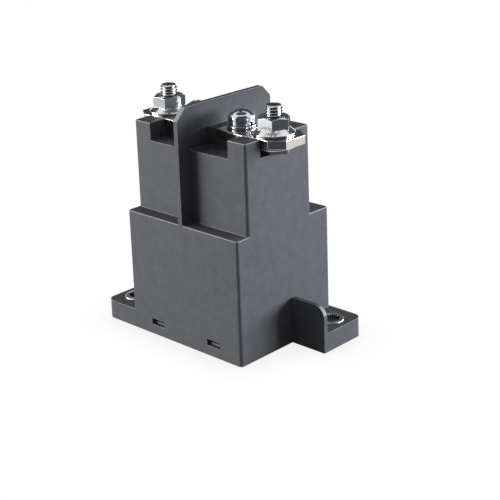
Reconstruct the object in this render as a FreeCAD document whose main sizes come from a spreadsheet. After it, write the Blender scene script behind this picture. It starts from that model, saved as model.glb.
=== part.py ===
import FreeCAD, Part
import math
import os
import re
import Sketcher

# High voltage dc contactor: a moulded housing with two mounting feet and a barrier between two screw
# terminals, round a sealed arc chamber above a solenoid.
# Frame: millimetres, +Z up, X along the line of the terminals, origin in the middle of the base.

SIZES = {
    # housing, its lower block and the narrower tower above it
    "body_width": 53.6,
    "body_depth": 46.4,
    "body_height": 44.6,
    "deck_height": 75.9,
    "front_step": 5.3,
    "back_step": 9.0,
    "draft_angle": 0.5,
    "wall": 2.4,
    "corner_radius": 0.9,
    "rim_radius": 0.35,
    # barrier between the poles
    "barrier_thickness": 1.8,
    "barrier_rise": 8.7,
    "barrier_chamfer": 4.0,
    "barrier_rounding": 1.6,
    # notches round the terminals
    "notch_depth": 6.2,
    "pedestal_width": 13.2,
    "post_inner": 18.4,
    "notch_wall": 1.2,
    "notch_margin": 0.3,
    "head_margin": 0.5,
    # mounting feet and their bushes
    "foot_length": 14.5,
    "foot_inner": 2.65,
    "foot_height": 7.05,
    "foot_radius": 3.0,
    "gusset_height": 17.0,
    "gusset_thickness": 1.8,
    "gusset_radius": 4.4,
    "bush_x": 34.4,
    "bush_y": 14.3,
    "bush_diameter": 9.2,
    "bush_bore": 6.2,
    "bush_edge": 0.5,
    "bush_proud": 0.4,
    "bush_fit": 0.02,
    # snap slots low in the front and back walls, and the bottom cover
    "slot_x": 13.8,
    "slot_width": 6.3,
    "slot_height": 2.3,
    "slot_bottom": 3.6,
    "cover_recess": 0.3,
    "cover_thickness": 2.4,
    "cover_gap": 0.15,
    "hook_width": 5.7,
    "hook_thickness": 1.5,
    "hook_gap": 0.25,
    "hook_bite": 1.3,
    "hook_nose": 1.25,
    "hook_lead": 1.1,
    # terminal plates
    "plate_thickness": 3.0,
    "plate_width": 16.4,
    "plate_neck": 13.6,
    "plate_taper": 6.4,
    "plate_inner": 4.9,
    "plate_outer": 34.0,
    "plate_chamfer_x": 4.7,
    "plate_chamfer_y": 3.5,
    "plate_margin": 0.15,
    # M6 studs and flange nuts
    "stud_x": 24.7,
    "stud_diameter": 6.0,
    "stud_length": 12.7,
    "stud_chamfer": 0.8,
    "stud_head_diameter": 14.0,
    "stud_head_thickness": 1.2,
    "stud_hex_flats": 10.0,
    "stud_hex_thickness": 1.6,
    "stud_fit": 0.05,
    "nut_height": 6.0,
    "nut_flats": 10.0,
    "nut_flange": 14.2,
    "nut_rim": 0.7,
    "nut_cone_height": 2.2,
    "nut_cone_diameter": 10.4,
    "nut_top_diameter": 9.4,
    "nut_top_slope": 0.7,
    "nut_turn_right": 6.0,
    "nut_turn_left": 1.0,
    # M5 pan head screws and their washers
    "screw_x": 10.2,
    "screw_diameter": 5.0,
    "screw_length": 12.0,
    "screw_fit": 0.03,
    "screw_hole": 5.5,
    "screw_head_diameter": 9.3,
    "screw_head_height": 3.7,
    "screw_head_side": 1.5,
    "screw_head_shoulder": 7.8,
    "screw_head_top": 5.0,
    "recess_span": 4.6,
    "recess_width": 1.3,
    "recess_depth": 2.2,
    "flat_washer_diameter": 10.0,
    "flat_washer_thickness": 1.0,
    "spring_washer_diameter": 9.2,
    "spring_washer_thickness": 1.2,
    "spring_washer_split": 1.0,
    # fixed contacts and arc chamber
    "post_diameter": 10.0,
    "post_flange_diameter": 13.0,
    "post_flange_thickness": 0.8,
    "post_hole_gap": 0.2,
    "tap_depth": 8.0,
    "chamber_wall": 2.6,
    "chamber_radius": 2.0,
    "collar_height": 4.5,
    "collar_thickness": 0.8,
    "inner_gap": 0.2,
    "magnet_thickness": 2.0,
    "magnet_length": 14.0,
    "magnet_margin": 3.6,
    "strap_thickness": 0.9,
    "shield_thickness": 1.2,
    "shield_rim": 1.2,
    "shield_rim_height": 2.0,
    "shield_hole": 5.0,
    # moving contact, its spring and the shaft
    "contact_gap": 1.8,
    "overtravel": 0.5,
    "pad_diameter": 8.0,
    "pad_height": 0.7,
    "bridge_thickness": 2.5,
    "bridge_depth": 10.0,
    "bridge_margin": 0.7,
    "shaft_diameter": 4.0,
    "shaft_fit": 0.07,
    "shaft_tip": 0.6,
    "shaft_grip": 5.0,
    "seat_diameter": 9.0,
    "seat_thickness": 1.0,
    "seat_clearance": 1.2,
    "ring_diameter": 8.0,
    "ring_thickness": 0.7,
    "ring_groove": 3.2,
    "contact_spring_length": 5.0,
    "contact_spring_diameter": 6.6,
    "contact_spring_wire": 0.6,
    "contact_spring_turns": 3,
    # solenoid
    "yoke_gap": 2.0,
    "yoke_thickness": 2.0,
    "yoke_bend": 2.5,
    "yoke_plate_thickness": 2.5,
    "ledge_gap": 1.7,
    "core_diameter": 11.3,
    "core_length": 14.0,
    "core_flange": 16.0,
    "core_flange_thickness": 1.5,
    "core_fit": 0.05,
    "plunger_fit": 0.1,
    "plunger_rest_gap": 0.3,
    "residual_gap": 0.1,
    "sleeve_wall": 0.4,
    "sleeve_flange": 17.0,
    "spring_pocket": 7.6,
    "spring_pocket_core": 3.0,
    "spring_pocket_plunger": 5.0,
    "return_spring_diameter": 6.2,
    "return_spring_wire": 0.6,
    "return_spring_turns": 4,
    "bobbin_fit": 0.3,
    "bobbin_wall": 1.0,
    "bobbin_flange": 1.2,
    "coil_gap": 0.5,
    "coil_margin": 0.6,
    "winding_fit": 0.1,
    # blade tabs of the coil on the back ledge
    "tab_x": 10.0,
    "tab_inset": 5.0,
    "tab_width": 4.8,
    "tab_thickness": 0.8,
    "tab_height": 8.0,
    "tab_chamfer": 1.0,
    "tab_hole": 1.6,
    "tab_hole_drop": 3.5,
    "tab_fit": 0.1,
    "lug_half_width": 14.0,
    "lug_margin": 1.6,
    "boss_depth": 3.0,
}

# Places that follow from the sizes.
PLACES = {
    "draft": "tan(draft_angle)",
    "block_corner": "corner_radius + body_height * draft",
    "tower_corner": "corner_radius + deck_height * draft",
    "axis_y": "(front_step - back_step) / 2",
    "cavity_x": "body_width / 2 - wall",
    "cavity_x_low": "cavity_x - body_height * draft",
    "cavity_x_high": "cavity_x - deck_height * draft",
    "tower_y": "(body_depth - front_step - back_step) / 2 - wall - deck_height * draft",
    "seat_z": "deck_height - plate_thickness",
    "ceiling": "deck_height - notch_depth - wall",
    "cover_top": "cover_recess + cover_thickness",
    "yoke_floor": "cover_top + yoke_thickness",
    "yoke_plate_top": "body_height - wall - ledge_gap",
    "yoke_top": "yoke_plate_top - yoke_plate_thickness",
    "yoke_x": "cavity_x_low - yoke_gap",
    "yoke_y": "body_depth / 2 - wall - hook_thickness - hook_gap - abs(axis_y) - inner_gap",
    "core_top": "yoke_plate_top + core_flange_thickness",
    "core_bottom": "yoke_top - core_length",
    "sleeve_bore": "core_diameter / 2 + core_fit",
    "sleeve_radius": "sleeve_bore + sleeve_wall",
    "plunger_radius": "sleeve_bore - plunger_fit",
    "travel": "contact_gap + overtravel",
    "plunger_top": "core_bottom - residual_gap - travel",
    "plunger_bottom": "yoke_floor + sleeve_wall + plunger_rest_gap",
    "plunger_pocket": "plunger_top - spring_pocket_plunger",
    "shaft_bottom": "plunger_pocket - shaft_grip",
    "core_pocket": "core_bottom + spring_pocket_core",
    "shield_top": "core_top + shield_thickness",
    "spring_seat": "shield_top + seat_clearance + seat_thickness",
    "bridge_bottom": "spring_seat + contact_spring_length",
    "bridge_top": "bridge_bottom + bridge_thickness",
    "contact_face": "bridge_top + pad_height + contact_gap",
    "shaft_top": "bridge_top + ring_thickness + shaft_tip",
    "shaft_bore": "shaft_diameter / 2 + shaft_fit",
    "chamber_top": "ceiling - post_flange_thickness - inner_gap",
    "chamber_bottom": "yoke_plate_top + collar_height",
    "chamber_x": "cavity_x_high - inner_gap - strap_thickness - magnet_thickness",
    "chamber_y": "tower_y - inner_gap - strap_thickness",
    "magnet_bottom": "chamber_bottom + magnet_margin",
    "magnet_height": "chamber_top - chamber_bottom - 2 * magnet_margin",
    "bobbin_top": "yoke_top - sleeve_wall - inner_gap",
    "bobbin_bore": "sleeve_radius + bobbin_fit",
    "bobbin_tube": "bobbin_bore + bobbin_wall",
    "flange_radius": "min(yoke_x - yoke_thickness; yoke_y) - coil_gap",
    "tab_y": "body_depth / 2 - tab_inset",
    "tab_bottom": "bobbin_top - boss_depth",
    "hook_y": "body_depth / 2 - wall - hook_gap",
    "hook_top": "slot_bottom + slot_height + hook_lead",
    "barrier_foot": "body_height - wall / 2",
    "barrier_top": "deck_height + barrier_rise",
}

OVERSHOOT = "5"
SIDES = (("right", 1), ("left", -1))

document = FreeCAD.newDocument("contactor")
sheet = document.addObject("Spreadsheet::Sheet", "sizes")
for row, (alias, size) in enumerate(SIZES.items(), start=1):
    sheet.set(f"A{row}", alias)
    sheet.set(f"B{row}", str(size))
    sheet.setAlias(f"B{row}", alias)
document.recompute()

parts = []


def bound(text):
    """The expression for text, with every size tied to its cell and every place worked out from sizes."""

    def tie(found):
        word = found.group()
        if word in PLACES:
            return "(" + bound(PLACES[word]) + ")"
        if word in SIZES:
            return "sizes." + word
        return word

    return re.sub(r"[a-z_]+", tie, text)


def value(text):
    """The number that text stands for at the present sizes."""
    result = sheet.evalExpression(bound(text))
    return float(getattr(result, "Value", result))


def tie(thing, prop, text):
    thing.setExpression(prop, bound(text))


def place(thing, x="0", y="0", z="0"):
    tie(thing, "Placement.Base.x", x)
    tie(thing, "Placement.Base.y", y)
    tie(thing, "Placement.Base.z", z)


def new_body(name):
    body = document.addObject("PartDesign::Body", name)
    body.Label = name
    parts.append(body)
    return body


def sketch_on(body, name, role, offset="0"):
    """A sketch on one of the body's own planes, moved along the plane's normal by offset."""
    plane = next(item for item in body.Origin.OriginFeatures if item.Role == role)
    sketch = body.newObject("Sketcher::SketchObject", name)
    sketch.AttachmentSupport = [(plane, "")]
    sketch.MapMode = "FlatFace"
    tie(sketch, "AttachmentOffset.Base.z", offset)
    return sketch


def pin(sketch, geometry, point, x, y):
    """Fix one point of a sketch at x, y, each given in terms of the sizes."""
    for kind, axis, text in (("DistanceX", -2, x), ("DistanceY", -1, y)):
        if text == "0":
            sketch.addConstraint(Sketcher.Constraint("PointOnObject", geometry, point, axis))
            continue
        number = sketch.addConstraint(Sketcher.Constraint(kind, -1, 1, geometry, point, value(text)))
        tie(sketch, f"Constraints[{number}]", text)


def outline(sketch, corners):
    """A closed outline of straight lines through corners."""
    first = sketch.GeometryCount
    ends = [FreeCAD.Vector(value(x), value(y), 0) for x, y in corners]
    for start, end in zip(ends, ends[1:] + ends[:1]):
        sketch.addGeometry(Part.LineSegment(start, end), False)
    for index, (x, y) in enumerate(corners):
        before = first + (index - 1) % len(corners)
        sketch.addConstraint(Sketcher.Constraint("Coincident", before, 2, first + index, 1))
        pin(sketch, first + index, 1, x, y)


def rectangle(sketch, left, low, right, high):
    outline(sketch, [(left, low), (right, low), (right, high), (left, high)])


def rounded_rectangle(sketch, left, low, right, high, radius):
    """A rectangle whose corners are arcs, joined to its sides without a kink."""
    reach = value(radius)
    middles = [
        (f"{left} + {radius}", f"{low} + {radius}"),
        (f"{right} - {radius}", f"{low} + {radius}"),
        (f"{right} - {radius}", f"{high} - {radius}"),
        (f"{left} + {radius}", f"{high} - {radius}"),
    ]
    up = FreeCAD.Vector(0, 0, 1)
    arcs = []
    for corner, (x, y) in enumerate(middles):
        ring = Part.Circle(FreeCAD.Vector(value(x), value(y), 0), up, reach)
        start = math.pi + corner * math.pi / 2
        arcs.append(sketch.addGeometry(Part.ArcOfCircle(ring, start, start + math.pi / 2), False))
    for corner, arc in enumerate(arcs):
        after = arcs[(corner + 1) % 4]
        start = sketch.getPoint(arc, 2)
        end = sketch.getPoint(after, 1)
        line = sketch.addGeometry(Part.LineSegment(start, end), False)
        sketch.addConstraint(Sketcher.Constraint("Tangent", arc, 2, line, 1))
        sketch.addConstraint(Sketcher.Constraint("Tangent", line, 2, after, 1))
    for arc, (x, y) in zip(arcs, middles):
        pin(sketch, arc, 3, x, y)
        number = sketch.addConstraint(Sketcher.Constraint("Radius", arc, reach))
        tie(sketch, f"Constraints[{number}]", radius)


def circle(sketch, x, y, diameter):
    centre = FreeCAD.Vector(value(x), value(y), 0)
    up = FreeCAD.Vector(0, 0, 1)
    geometry = sketch.addGeometry(Part.Circle(centre, up, value(diameter) / 2), False)
    pin(sketch, geometry, 3, x, y)
    number = sketch.addConstraint(Sketcher.Constraint("Diameter", geometry, value(diameter)))
    tie(sketch, f"Constraints[{number}]", diameter)


def hexagon(sketch, flats, turn="0"):
    """A hexagon round the origin, flats across, with a corner at turn degrees from the x axis."""
    reach = f"{flats} / 2 / cos(30)"
    angles = [f"({turn} + {60 * corner})" for corner in range(6)]
    outline(sketch, [(f"{reach} * cos{angle}", f"{reach} * sin{angle}") for angle in angles])


def swept(body, kind, name, sketch, length, side="One side", back=False, taper=None):
    feature = body.newObject(kind, name)
    feature.Profile = sketch
    feature.SideType = side
    feature.Reversed = back
    tie(feature, "Length", length)
    if taper:
        tie(feature, "TaperAngle", taper)
    sketch.Visibility = False
    return feature


def pad(body, name, sketch, length, **options):
    return swept(body, "PartDesign::Pad", name, sketch, length, **options)


def pocket(body, name, sketch, length, **options):
    return swept(body, "PartDesign::Pocket", name, sketch, length, **options)


def turned(body, name, corners, kind="PartDesign::Revolution"):
    """A profile of corners (radius, height), turned round the body's vertical axis."""
    sketch = sketch_on(body, name + "_profile", "XZ_Plane")
    outline(sketch, corners)
    feature = body.newObject(kind, name)
    feature.Profile = sketch
    feature.ReferenceAxis = (sketch, ["V_Axis"])
    feature.Angle = 360
    return feature


def edges_where(feature, test):
    """The names of the feature's edges whose two ends pass the test."""
    document.recompute()
    names = []
    for number, edge in enumerate(feature.Shape.Edges, start=1):
        ends = [vertex.Point for vertex in edge.Vertexes]
        if len(ends) == 2 and test(*ends):
            names.append(f"Edge{number}")
    return names


def rounded(body, name, feature, radius, test):
    """The feature with the edges that pass the test rounded."""
    names = edges_where(feature, test)
    if not names:
        raise ValueError(f"{name} finds no edge")
    rounding = body.newObject("PartDesign::Fillet", name)
    rounding.Base = (feature, names)
    tie(rounding, "Radius", radius)
    return rounding


def same(first, second):
    return abs(first - second) < 0.01


def upright(one, two):
    """True for an edge that stands, apart from its draft."""
    flat = FreeCAD.Vector(one.x - two.x, one.y - two.y, 0).Length
    return flat < 0.1 * abs(one.z - two.z)


def level_at(one, two, height):
    return same(one.z, value(height)) and same(two.z, value(height))


def housing():
    """The one moulding: block, tower, barrier, feet, notches, and the hollow inside."""
    body = new_body("housing")
    width = "body_width / 2"
    depth = "body_depth / 2"
    taper = "-draft_angle"

    block_outline = sketch_on(body, "block_outline", "XY_Plane")
    rounded_rectangle(block_outline, f"-{width}", f"-{depth}", width, depth, "block_corner")
    block = pad(body, "block", block_outline, "body_height", taper=taper)
    rounded(body, "block_rim", block, "rim_radius",
            lambda one, two: level_at(one, two, "body_height"))

    tower_outline = sketch_on(body, "tower_outline", "XY_Plane")
    rounded_rectangle(tower_outline, f"-{width}", f"front_step - {depth}", width, f"{depth} - back_step",
                      "tower_corner")
    tower = pad(body, "tower", tower_outline, "deck_height", taper=taper)
    rounded(body, "tower_rim", tower, "rim_radius",
            lambda one, two: level_at(one, two, "deck_height"))

    shade = f"{depth} - barrier_foot * draft"
    lean = f"{depth} - barrier_top * draft"
    barrier_outline = sketch_on(body, "barrier_outline", "YZ_Plane")
    outline(barrier_outline, [
        (f"-({shade})", "barrier_foot"),
        (shade, "barrier_foot"),
        (lean, "barrier_top - barrier_chamfer"),
        (f"{lean} - barrier_chamfer", "barrier_top"),
        (f"barrier_chamfer - ({lean})", "barrier_top"),
        (f"-({lean})", "barrier_top - barrier_chamfer"),
    ])
    barrier = pad(body, "barrier", barrier_outline, "barrier_thickness", side="Symmetric")
    chamfer_foot = value("barrier_top - barrier_chamfer") - 0.01
    rounded(body, "barrier_corners", barrier, "barrier_rounding",
            lambda one, two: one.z > chamfer_foot and same(one.z, two.z) and same(one.y, two.y))

    reach = value("body_width / 2 + foot_length")
    back = value(depth)
    for word, side in SIDES:
        root = f"{side} * (body_width / 2 - wall / 2)"
        tip = f"{side} * (body_width / 2 + foot_length)"
        near = f"{side} * foot_inner"
        foot_outline = sketch_on(body, f"foot_outline_{word}", "XY_Plane")
        rectangle(foot_outline, root, near, tip, f"{side} * {depth}")
        pad(body, f"foot_{word}", foot_outline, "foot_height", taper=taper)
        gusset_outline = sketch_on(body, f"gusset_outline_{word}", "XY_Plane")
        rectangle(gusset_outline, root, near, tip, f"{side} * (foot_inner + gusset_thickness)")
        last = pad(body, f"gusset_{word}", gusset_outline, "gusset_height", taper=taper)

    last = rounded(body, "gusset_tops", last, "gusset_radius",
                   lambda one, two: level_at(one, two, "gusset_height") and same(one.x, two.x)
                   and abs(one.x) > reach - 1)
    rounded(body, "foot_corners", last, "foot_radius",
            lambda one, two: upright(one, two) and abs(one.x) > reach - 1
            and abs(one.y) > back - 1)

    notch_ends = sketch_on(body, "notch_ends", "XY_Plane", "deck_height")
    notch_sides = sketch_on(body, "notch_sides", "XY_Plane", "deck_height")
    head_rooms = sketch_on(body, "head_rooms", "XY_Plane", "deck_height")
    plate_seats = sketch_on(body, "plate_seats", "XY_Plane", "deck_height")
    post_holes = sketch_on(body, "post_holes", "XY_Plane", "deck_height")
    for _, side in SIDES:
        start = f"{side} * barrier_thickness / 2"
        post = f"{side} * post_inner"
        beyond = f"{side} * (body_width / 2 + {OVERSHOOT})"
        pedestal = "pedestal_width / 2"
        half = "(plate_width / 2 + notch_margin)"
        rectangle(notch_ends, start, f"-{depth}", post, f"axis_y - {pedestal}")
        rectangle(notch_ends, start, f"axis_y + {pedestal}", post, depth)
        rectangle(notch_sides, f"{side} * (post_inner + notch_wall)", f"axis_y - {half}",
                  beyond, f"axis_y + {half}")
        circle(head_rooms, f"{side} * stud_x", "axis_y", "stud_head_diameter + 2 * head_margin")
        rectangle(plate_seats, f"{side} * (plate_inner - plate_margin)", f"axis_y - {half}",
                  beyond, f"axis_y + {half}")
        circle(post_holes, f"{side} * screw_x", "axis_y", "post_diameter + 2 * post_hole_gap")
    for name, sketch in (("end_notches", notch_ends), ("side_notches", notch_sides),
                         ("head_pockets", head_rooms)):
        pocket(body, name, sketch, "notch_depth")
    pocket(body, "seats", plate_seats, "plate_thickness")

    block_room = sketch_on(body, "block_room", "XY_Plane")
    rectangle(block_room, f"wall - {width}", f"wall - {depth}", f"{width} - wall", f"{depth} - wall")
    pocket(body, "block_cavity", block_room, "body_height - wall", back=True, taper=taper)
    tower_room = sketch_on(body, "tower_room", "XY_Plane")
    rectangle(tower_room, f"wall - {width}", f"front_step + wall - {depth}",
              f"{width} - wall", f"{depth} - back_step - wall")
    pocket(body, "tower_cavity", tower_room, "ceiling", back=True, taper=taper)
    pocket(body, "post_bores", post_holes, f"deck_height - ceiling + {OVERSHOOT}")

    slots = sketch_on(body, "slots", "XZ_Plane")
    tab_holes = sketch_on(body, "tab_holes", "XY_Plane", "body_height")
    bush_holes = sketch_on(body, "bush_holes", "XY_Plane")
    for _, side in SIDES:
        rectangle(slots, f"{side} * (slot_x - slot_width / 2)", "slot_bottom",
                  f"{side} * (slot_x + slot_width / 2)", "slot_bottom + slot_height")
        rectangle(tab_holes,
                  f"{side} * tab_x - tab_width / 2 - tab_fit", "tab_y - tab_thickness / 2 - tab_fit",
                  f"{side} * tab_x + tab_width / 2 + tab_fit", "tab_y + tab_thickness / 2 + tab_fit")
        circle(bush_holes, f"{side} * bush_x", f"{side} * bush_y", "bush_diameter + 2 * bush_fit")
    pocket(body, "snap_slots", slots, f"body_depth + {OVERSHOOT}", side="Symmetric")
    pocket(body, "tab_slots", tab_holes, f"wall + {OVERSHOOT}")
    pocket(body, "bush_bores", bush_holes, f"foot_height + {OVERSHOOT}", back=True)


def bottom_cover():
    """The plate that closes the base, with four snap hooks that catch in the slots of the walls."""
    body = new_body("bottom_cover")
    half_x = "body_width / 2 - wall - cover_gap"
    half_y = "body_depth / 2 - wall - cover_gap"
    plate = sketch_on(body, "plate_outline", "XY_Plane", "cover_recess")
    rectangle(plate, f"-({half_x})", f"-({half_y})", half_x, half_y)
    pad(body, "plate", plate, "cover_thickness", taper="-draft_angle")
    for word, side in SIDES:
        hooks = sketch_on(body, f"hook_outlines_{word}", "YZ_Plane", f"{side} * slot_x")
        for facing in (1, -1):
            inner = f"{facing} * (hook_y - hook_thickness)"
            face = f"{facing} * hook_y"
            outline(hooks, [
                (inner, "cover_recess + cover_thickness / 2"),
                (face, "cover_recess + cover_thickness / 2"),
                (face, "slot_bottom + hook_gap"),
                (f"{facing} * (hook_y + hook_bite)", "slot_bottom + hook_gap"),
                (f"{facing} * (hook_y + hook_bite)", "slot_bottom + hook_gap + hook_nose"),
                (face, "slot_bottom + slot_height - hook_gap"),
                (face, "hook_top - hook_lead / 2"),
                (f"{facing} * (hook_y - hook_lead / 2)", "hook_top"),
                (inner, "hook_top"),
            ])
        pad(body, f"hooks_{word}", hooks, "hook_width", side="Symmetric")


def bush(word, side):
    body = new_body(f"mounting_bush_{word}")
    outer = "bush_diameter / 2"
    bore = "bush_bore / 2"
    turned(body, "bush", [
        (bore, "bush_edge"),
        (f"{bore} + bush_edge", "0"),
        (outer, "0"),
        (outer, "foot_height + bush_proud"),
        (f"{bore} + bush_edge", "foot_height + bush_proud"),
        (bore, "foot_height + bush_proud - bush_edge"),
    ])
    place(body, f"{side} * bush_x", f"{side} * bush_y")


def terminal_plate(word, side):
    """Flat bar with a tapered inner end, a chamfered outer end and two holes."""
    body = new_body(f"terminal_plate_{word}")
    neck = "plate_neck / 2"
    half = "plate_width / 2"
    shape = sketch_on(body, "plate_outline", "XY_Plane")
    corners = [
        ("plate_inner", neck),
        ("plate_inner + plate_taper", half),
        ("plate_outer - plate_chamfer_x", half),
        ("plate_outer", f"{half} - plate_chamfer_y"),
    ]
    below = [(x, f"-({y})") for x, y in reversed(corners)]
    outline(shape, [(f"{side} * ({x})", y) for x, y in corners + below])
    pad(body, "plate", shape, "plate_thickness")
    holes = sketch_on(body, "hole_outlines", "XY_Plane")
    circle(holes, f"{side} * screw_x", "0", "screw_hole")
    circle(holes, f"{side} * stud_x", "0", "stud_diameter + 2 * stud_fit")
    pocket(body, "holes", holes, "plate_thickness", back=True)
    place(body, y="axis_y", z="seat_z")


def terminal_stud(word, side):
    """M6 stud with a round head that lies under the plate, and a low hexagon below it."""
    body = new_body(f"terminal_stud_{word}")
    shank = "stud_diameter / 2"
    head = "stud_head_diameter / 2"
    turned(body, "stud", [
        ("0", "-stud_head_thickness"),
        (head, "-stud_head_thickness"),
        (head, "0"),
        (shank, "0"),
        (shank, "stud_length - stud_chamfer"),
        (f"{shank} - stud_chamfer", "stud_length"),
        ("0", "stud_length"),
    ])
    hex_outline = sketch_on(body, "hex_outline", "XY_Plane", "-stud_head_thickness")
    hexagon(hex_outline, "stud_hex_flats")
    pad(body, "hex_head", hex_outline, "stud_hex_thickness", back=True)
    place(body, f"{side} * stud_x", "axis_y", "seat_z")


def flange_nut(word, side, turn):
    """M6 hexagon nut on its own conical flange."""
    body = new_body(f"flange_nut_{word}")
    bore = "stud_diameter / 2 + stud_fit"
    turned(body, "flange", [
        (bore, "0"),
        ("nut_flange / 2", "0"),
        ("nut_flange / 2", "nut_rim"),
        ("nut_cone_diameter / 2", "nut_cone_height"),
        (bore, "nut_cone_height"),
    ])
    hex_outline = sketch_on(body, "hex_outline", "XY_Plane", "nut_rim")
    hexagon(hex_outline, "nut_flats", turn)
    circle(hex_outline, "0", "0", f"2 * ({bore})")
    pad(body, "hexagon", hex_outline, "nut_height - nut_rim")
    reach = "nut_flats / 2 / cos(30)"
    turned(body, "top_slope", [
        (f"{reach} + 1", "nut_height"),
        ("nut_top_diameter / 2", "nut_height"),
        (f"{reach} + 1", f"nut_height - nut_top_slope * ({reach} + 1 - nut_top_diameter / 2)"),
    ], kind="PartDesign::Groove")
    place(body, f"{side} * stud_x", "axis_y", "deck_height")


def flat_washer(word, side):
    body = new_body(f"flat_washer_{word}")
    bore = "screw_hole / 2"
    turned(body, "washer", [
        (bore, "0"),
        ("flat_washer_diameter / 2", "0"),
        ("flat_washer_diameter / 2", "flat_washer_thickness"),
        (bore, "flat_washer_thickness"),
    ])
    place(body, f"{side} * screw_x", "axis_y", "deck_height")


def spring_washer(word, side):
    """Split ring, pressed flat under the screw's head."""
    body = new_body(f"spring_washer_{word}")
    bore = "screw_hole / 2"
    turned(body, "washer", [
        (bore, "0"),
        ("spring_washer_diameter / 2", "0"),
        ("spring_washer_diameter / 2", "spring_washer_thickness"),
        (bore, "spring_washer_thickness"),
    ])
    split = sketch_on(body, "split_outline", "XY_Plane")
    gap = "spring_washer_split / 2"
    rectangle(split, "0", f"-{gap}", "spring_washer_diameter", gap)
    pocket(body, "split", split, "spring_washer_thickness", back=True)
    place(body, f"{side} * screw_x", "axis_y", "deck_height + flat_washer_thickness")


def terminal_screw(word, side):
    """M5 pan head screw with a cross recess."""
    body = new_body(f"terminal_screw_{word}")
    shank = "screw_diameter / 2"
    head = "screw_head_diameter / 2"
    turned(body, "screw", [
        ("0", "-screw_length"),
        (f"{shank} - screw_diameter / 10", "-screw_length"),
        (shank, "screw_diameter / 10 - screw_length"),
        (shank, "0"),
        (head, "0"),
        (head, "screw_head_side"),
        ("screw_head_shoulder / 2", "(screw_head_side + 3 * screw_head_height) / 4"),
        ("screw_head_top / 2", "screw_head_height"),
        ("0", "screw_head_height"),
    ])
    cross = sketch_on(body, "cross_outline", "XY_Plane", "screw_head_height")
    span = "recess_span / 2"
    arm = "recess_width / 2"
    outline(cross, [
        (arm, arm), (arm, span), (f"-{arm}", span), (f"-{arm}", arm),
        (f"-{span}", arm), (f"-{span}", f"-{arm}"), (f"-{arm}", f"-{arm}"), (f"-{arm}", f"-{span}"),
        (arm, f"-{span}"), (arm, f"-{arm}"), (span, f"-{arm}"), (span, arm),
    ])
    pocket(body, "cross_recess", cross, "recess_depth")
    stack = "deck_height + flat_washer_thickness + spring_washer_thickness"
    place(body, f"{side} * screw_x", "axis_y", stack)


def fixed_contact(word, side):
    """Copper post, brazed to the chamber's roof by its flange and tapped for the terminal screw."""
    body = new_body(f"fixed_contact_{word}")
    post = "post_diameter / 2"
    flange = "post_flange_diameter / 2"
    tap = "screw_diameter / 2 + screw_fit"
    turned(body, "post", [
        ("0", "contact_face"),
        (f"{post} - pad_height", "contact_face"),
        (post, "contact_face + pad_height"),
        (post, "chamber_top"),
        (flange, "chamber_top"),
        (flange, "chamber_top + post_flange_thickness"),
        (post, "chamber_top + post_flange_thickness"),
        (post, "seat_z"),
        (tap, "seat_z"),
        (tap, "seat_z - tap_depth"),
        ("0", "seat_z - tap_depth"),
    ])
    place(body, f"{side} * screw_x", "axis_y")


def arc_chamber():
    """Ceramic box, open below, that seals the contacts in."""
    body = new_body("arc_chamber")
    outside_box = sketch_on(body, "chamber_outline", "XY_Plane", "chamber_bottom")
    rounded_rectangle(outside_box, "-chamber_x", "-chamber_y", "chamber_x", "chamber_y", "chamber_radius")
    pad(body, "box", outside_box, "chamber_top - chamber_bottom")
    room = sketch_on(body, "room_outline", "XY_Plane", "chamber_bottom")
    rectangle(room, "chamber_wall - chamber_x", "chamber_wall - chamber_y",
              "chamber_x - chamber_wall", "chamber_y - chamber_wall")
    pocket(body, "room", room, "chamber_top - chamber_bottom - chamber_wall", back=True)
    holes = sketch_on(body, "post_holes", "XY_Plane", "chamber_top")
    for _, side in SIDES:
        circle(holes, f"{side} * screw_x", "0", "post_diameter + 2 * stud_fit")
    pocket(body, "post_bores", holes, f"chamber_wall + {OVERSHOOT}")
    place(body, y="axis_y")


def chamber_collar():
    """Thin metal frame that joins the ceramic box to the yoke plate."""
    body = new_body("chamber_collar")
    ring = sketch_on(body, "collar_outline", "XY_Plane", "yoke_plate_top")
    rounded_rectangle(ring, "-chamber_x", "-chamber_y", "chamber_x", "chamber_y", "chamber_radius")
    pad(body, "collar", ring, "collar_height")
    room = sketch_on(body, "room_outline", "XY_Plane", "chamber_bottom")
    rectangle(room, "collar_thickness - chamber_x", "collar_thickness - chamber_y",
              "chamber_x - collar_thickness", "chamber_y - collar_thickness")
    pocket(body, "room", room, "collar_height")
    place(body, y="axis_y")


def arc_shield():
    """Tray over the core's flange that keeps the arc off the yoke, with a hole for the shaft."""
    body = new_body("arc_shield")
    half_x = "chamber_x - chamber_wall - inner_gap"
    half_y = "chamber_y - chamber_wall - inner_gap"
    floor = sketch_on(body, "tray_outline", "XY_Plane", "core_top")
    rectangle(floor, f"-({half_x})", f"-({half_y})", half_x, half_y)
    circle(floor, "0", "0", "shield_hole")
    pad(body, "tray", floor, "shield_thickness")
    rim = sketch_on(body, "rim_outline", "XY_Plane", "core_top")
    rectangle(rim, f"-({half_x})", f"-({half_y})", half_x, half_y)
    rectangle(rim, f"shield_rim - ({half_x})", f"shield_rim - ({half_y})",
              f"{half_x} - shield_rim", f"{half_y} - shield_rim")
    pad(body, "rim", rim, "shield_rim_height")
    place(body, y="axis_y")


def blowout_magnet(word, side):
    magnet = document.addObject("Part::Box", f"blowout_magnet_{word}")
    magnet.Label = f"blowout_magnet_{word}"
    tie(magnet, "Length", "magnet_thickness")
    tie(magnet, "Width", "magnet_length")
    tie(magnet, "Height", "magnet_height")
    start = "chamber_x" if side > 0 else "-chamber_x - magnet_thickness"
    place(magnet, start, "axis_y - magnet_length / 2", "magnet_bottom")
    parts.append(magnet)


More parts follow.
